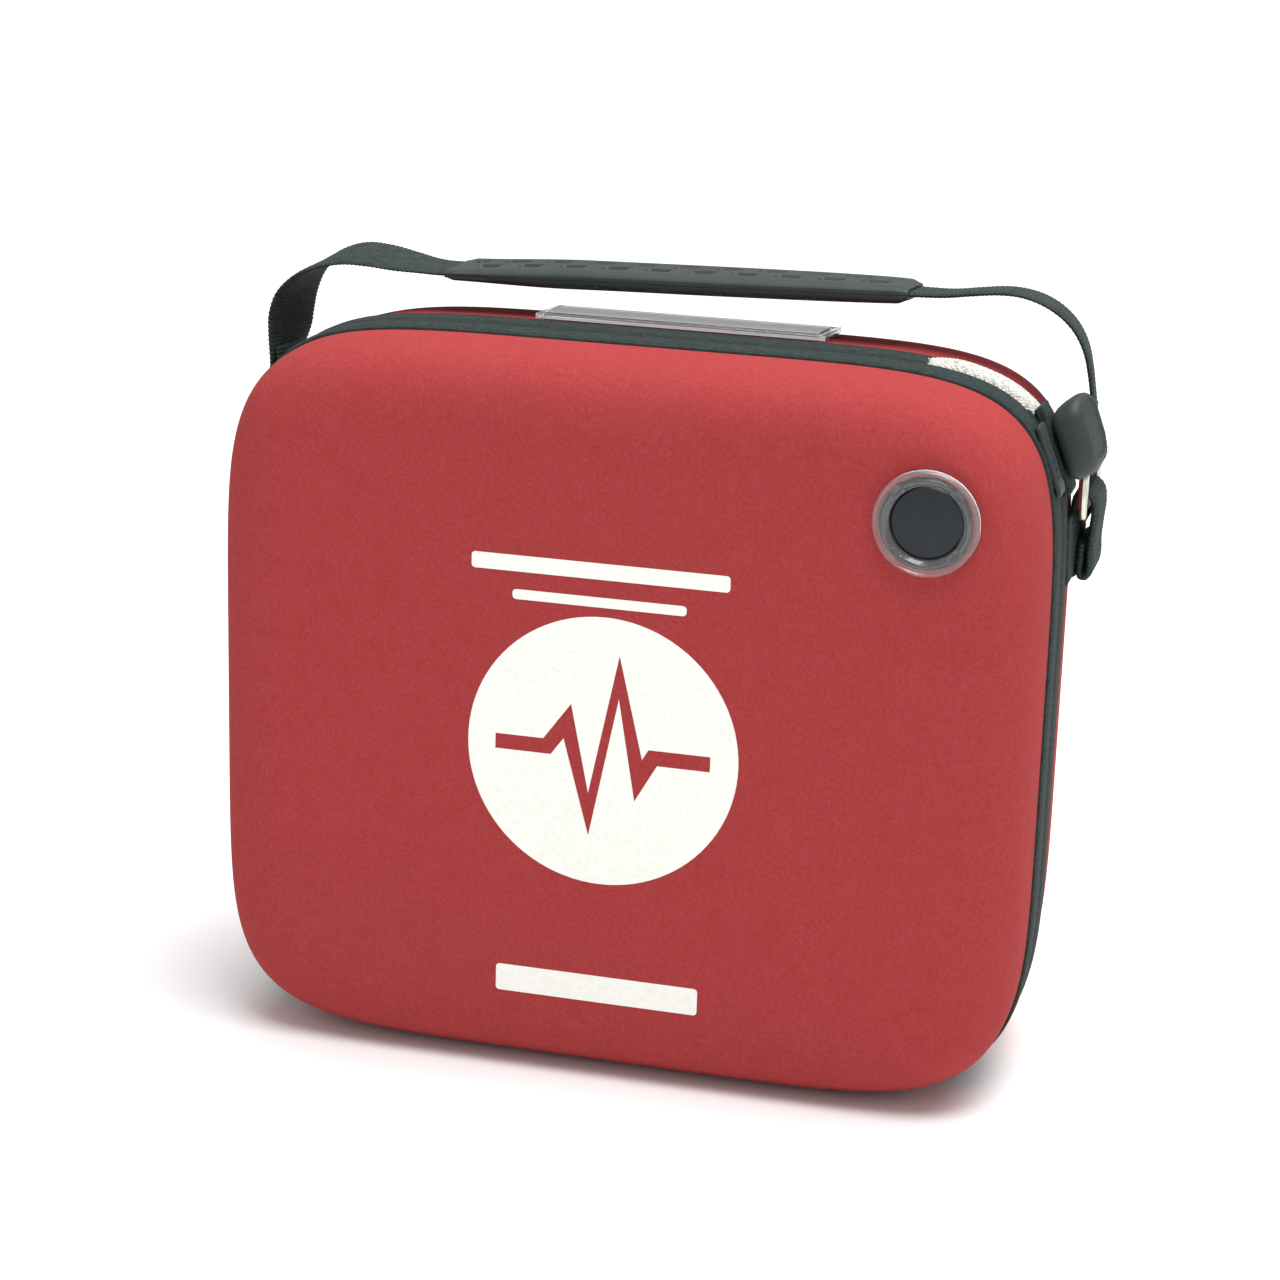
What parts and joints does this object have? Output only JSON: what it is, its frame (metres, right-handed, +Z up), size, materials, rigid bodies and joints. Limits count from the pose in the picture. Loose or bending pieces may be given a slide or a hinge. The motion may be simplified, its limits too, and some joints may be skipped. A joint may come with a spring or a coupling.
{
  "type": "defibrillator",
  "caption": "Defibrillator in a padded carry case: hinged lid with a round window, closure tab, strap handle, and the unit with its keys and pads inside.",
  "frame": {"origin": "middle of the bounding box at the floor, under the case", "axes": "+X towards the closure tab, +Y to the back (away from the lid), +Z up"},
  "size_m": [0.2812, 0.1118, 0.2555],
  "materials": {
    "red_fabric": "brushed red polyester jersey bonded to moulded foam",
    "black_binding": "woven black binding tape",
    "black_webbing": "ribbed black polyester webbing",
    "white_knit": "white knitted piping",
    "black_rubber": "moulded black rubber, satin",
    "nickel": "nickel plated wire",
    "clear_plastic": "clear moulded polycarbonate",
    "dark_lens": "dark tinted polycarbonate",
    "card": "coated white card",
    "foam": "closed-cell foam",
    "pouch_fabric": "woven black nylon",
    "unit_plastic": "light grey moulded plastic, fine texture",
    "unit_dark_plastic": "dark grey moulded plastic",
    "board": "solder-masked glass board",
    "part_black": "sleeved capacitor",
    "copper_wire": "enamelled copper winding",
    "steel": "zinc plated screws",
    "signal_green": "green moulded plastic",
    "signal_blue": "blue moulded plastic",
    "signal_orange": "orange moulded plastic"
  },
  "bodies": {
    "base": {"rear_shell": "red_fabric", "rear_binding": "black_binding", "edge_roll": "white_knit", "hinge_leaf_base": "black_binding", "loop_patch": "black_binding", "side_loop_left": "black_webbing", "side_loop_right": "black_webbing", "label_holder": "clear_plastic", "label_card": "card", "label_cover": "clear_plastic", "foam_tray": "foam", "back_pad": "foam", "kit_pouch": "pouch_fabric", "unit_front_case": "unit_plastic", "unit_rear_case": "unit_dark_plastic", "unit_gasket": "black_rubber", "ready_light": "dark_lens", "speaker": "unit_dark_plastic", "cartridge_bay": "unit_dark_plastic", "pads_cartridge": "unit_plastic", "main_board": "board", "capacitor": "part_black", "coil": "copper_wire", "battery_pack": "unit_dark_plastic", "battery_latch": "unit_plastic", "unit_screw_1": "steel", "unit_screw_2": "steel", "unit_screw_3": "steel", "unit_screw_4": "steel"},
    "lid": {"front_shell": "red_fabric", "front_binding": "black_binding", "hinge_leaf_lid": "black_binding", "window_bezel": "clear_plastic", "window_lens": "dark_lens", "window_clip": "clear_plastic", "guide_card": "card", "guide_pocket": "clear_plastic", "tab_root": "black_binding"},
    "tab": {"closure_tab": "black_rubber"},
    "handle": {"strap": "black_webbing", "strap_ring_left": "nickel", "strap_ring_right": "nickel", "grip_upper": "black_rubber", "grip_lower": "black_rubber"},
    "power_key": {"power_button": "signal_green"},
    "info_key": {"info_button": "signal_blue"},
    "shock_key": {"shock_button": "signal_orange"},
    "cartridge_handle": {"cartridge_pull": "signal_green"}
  },
  "joints": [
    {"name": "lid_hinge", "type": "hinge", "parent": "base", "child": "lid", "pos_m": [-0.1352, -0.0064, 0.1175], "axis": [0, 0, -1], "range_deg": [0, 150]},
    {"name": "tab_hinge", "type": "hinge", "parent": "lid", "child": "tab", "pos_m": [0.12906, -0.0084, 0.21455], "axis": [0.4526, 0, -0.8917], "range_deg": [0, 90]},
    {"name": "handle_tilt", "type": "hinge", "parent": "base", "child": "handle", "pos_m": [0, 0.0276, 0.1846], "axis": [-1, 0, 0], "range_deg": [-5, 12]},
    {"name": "power_press", "type": "slide", "parent": "base", "child": "power_key", "axis": [0, 1, 0], "range_m": [0, 0.0015], "stiffness_N_per_m": 2500},
    {"name": "info_press", "type": "slide", "parent": "base", "child": "info_key", "axis": [0, 1, 0], "range_m": [0, 0.0015], "stiffness_N_per_m": 2000},
    {"name": "shock_press", "type": "slide", "parent": "base", "child": "shock_key", "axis": [0, 1, 0], "range_m": [0, 0.0015], "stiffness_N_per_m": 3000},
    {"name": "pull_swing", "type": "hinge", "parent": "base", "child": "cartridge_handle", "pos_m": [0.004, -0.0254, 0.137], "axis": [-1, 0, 0], "range_deg": [0, 90]}
  ]
}
